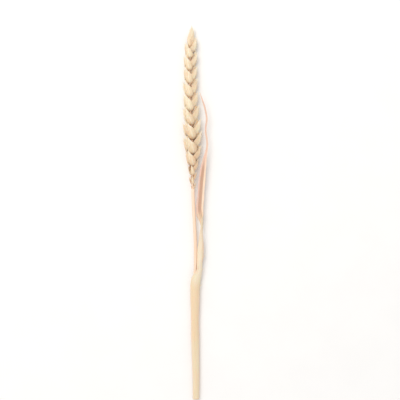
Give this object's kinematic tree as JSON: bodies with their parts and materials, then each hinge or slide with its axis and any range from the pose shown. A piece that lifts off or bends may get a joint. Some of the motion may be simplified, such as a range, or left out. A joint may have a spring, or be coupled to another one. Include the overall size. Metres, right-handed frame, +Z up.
{
  "type": "wheat ear",
  "caption": "Dried awnless wheat ear, keeled husks in two ranks on a hollow cut straw, with the leaf sheath and the dried, twisted flag leaf; lies flat as decoration.",
  "frame": {"origin": "on the surface it lies on, under the middle of its bounding box", "axes": "+Y along the straw towards the ear's tip, +Z up from the surface, +X to the right seen from above with the tip away"},
  "size_m": [0.0152, 0.2236, 0.0101],
  "materials": {
    "chaff": "matte",
    "straw": "satin",
    "dry_leaf": "matte"
  },
  "bodies": {
    "root": {"ear": "chaff", "stem": "straw", "flag_leaf": "dry_leaf"}
  },
  "joints": []
}
